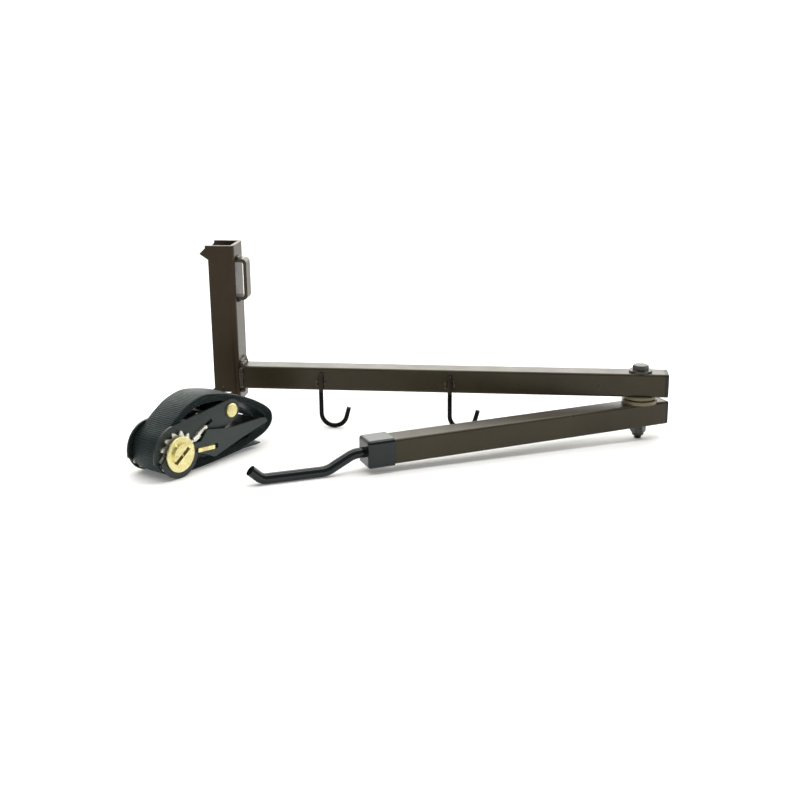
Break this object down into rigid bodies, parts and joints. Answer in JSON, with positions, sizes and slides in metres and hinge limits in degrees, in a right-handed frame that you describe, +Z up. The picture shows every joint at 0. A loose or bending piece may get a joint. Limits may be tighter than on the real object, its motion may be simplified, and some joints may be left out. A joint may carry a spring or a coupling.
{
  "type": "folding gear hanger with ratchet strap",
  "caption": "Strap-on folding gear hanger: toothed tree post, hinged square-tube arms, gear hooks and a coated end hook, with its ratchet strap lying beside it.",
  "frame": {"origin": "centre of the bounding box's footprint, on the floor the set lies on", "axes": "+Z up, +X along the main arm from the post to the pivot, +Y to the main arm's side away from the gear hooks"},
  "size_m": [0.4006, 0.1891, 0.1494],
  "materials": {
    "powder_coat": "satin",
    "hook_coating": "satin",
    "black_plastic": "satin",
    "black_vinyl": "gloss",
    "black_hardware": "satin",
    "nylon": "satin",
    "steel_core": "satin",
    "webbing": "woven",
    "ratchet_steel": "satin",
    "yellow_zinc": "satin",
    "bright_zinc": "satin"
  },
  "bodies": {
    "hanger": {"post_channel": "powder_coat", "main_arm_tube": "powder_coat", "arm_weld": "powder_coat", "strap_bracket": "powder_coat", "bracket_welds": "powder_coat", "gear_hook_inner": "hook_coating", "gear_hook_outer": "hook_coating", "hook_welds": "powder_coat", "main_arm_end_plug": "black_plastic", "pivot_bolt": "black_hardware", "head_washer": "black_hardware", "spacer_washer_upper": "black_hardware", "friction_washer": "black_plastic", "lock_nut": "black_hardware", "nut_nylon_ring": "nylon"},
    "swing_arm": {"swing_arm_tube": "powder_coat", "swing_arm_end_plug": "black_plastic", "swing_arm_cap": "black_vinyl", "rod_socket": "black_plastic", "hook_rod": "steel_core", "hook_rod_sleeve": "black_vinyl", "spacer_washer_lower": "black_hardware"},
    "ratchet_handle": {"handle_frame": "ratchet_steel", "strap_coil": "webbing"},
    "handle_pawl": {"handle_pawl": "yellow_zinc", "handle_pawl_spring": "bright_zinc"},
    "ratchet_frame": {"frame_plate_near": "ratchet_steel", "frame_plate_far": "ratchet_steel", "frame_seat": "ratchet_steel", "anchor_pin": "yellow_zinc", "anchor_sleeve": "ratchet_steel", "anchor_loop": "webbing"},
    "lock_pawl": {"lock_pawl": "bright_zinc", "lock_pawl_spring": "bright_zinc"},
    "ratchet_spool": {"spool_half_upper": "bright_zinc", "spool_half_lower": "bright_zinc", "ratchet_wheel_near": "bright_zinc", "ratchet_wheel_far": "bright_zinc", "hub_disc_near": "yellow_zinc", "hub_disc_far": "yellow_zinc", "cotter_pins": "bright_zinc"}
  },
  "joints": [
    {"name": "arm_fold", "type": "hinge", "parent": "hanger", "child": "swing_arm", "pos_m": [0.17613, 0.07533, 0.03356], "axis": [-0.021, -0.0133, 0.9997], "range_deg": [-8, 328]},
    {"name": "ratchet_lift", "type": "slide", "parent": "hanger", "child": "ratchet_handle", "axis": [0, 0, 1], "range_m": [0, 0.15]},
    {"name": "ratchet_open", "type": "hinge", "parent": "ratchet_handle", "child": "ratchet_frame", "pos_m": [-0.17611, -0.06907, 0.0183], "axis": [0.866, -0.5, 0], "range_deg": [0, 150], "deforming": ["strap_coil"]},
    {"name": "spool_turn", "type": "hinge", "parent": "ratchet_handle", "child": "ratchet_spool", "pos_m": [-0.17611, -0.06907, 0.0183], "axis": [0.866, -0.5, 0], "continuous": true},
    {"name": "lock_pawl_pull", "type": "slide", "parent": "ratchet_frame", "child": "lock_pawl", "axis": [0.4532, 0.7849, 0.4226], "range_m": [0, 0.003], "stiffness_N_per_m": 800, "springref_m": -0.004, "deforming": ["lock_pawl_spring"]},
    {"name": "handle_pawl_pull", "type": "slide", "parent": "ratchet_handle", "child": "handle_pawl", "axis": [0.4988, 0.8639, -0.0698], "range_m": [0, 0.003], "stiffness_N_per_m": 800, "springref_m": -0.004, "deforming": ["handle_pawl_spring"]}
  ]
}
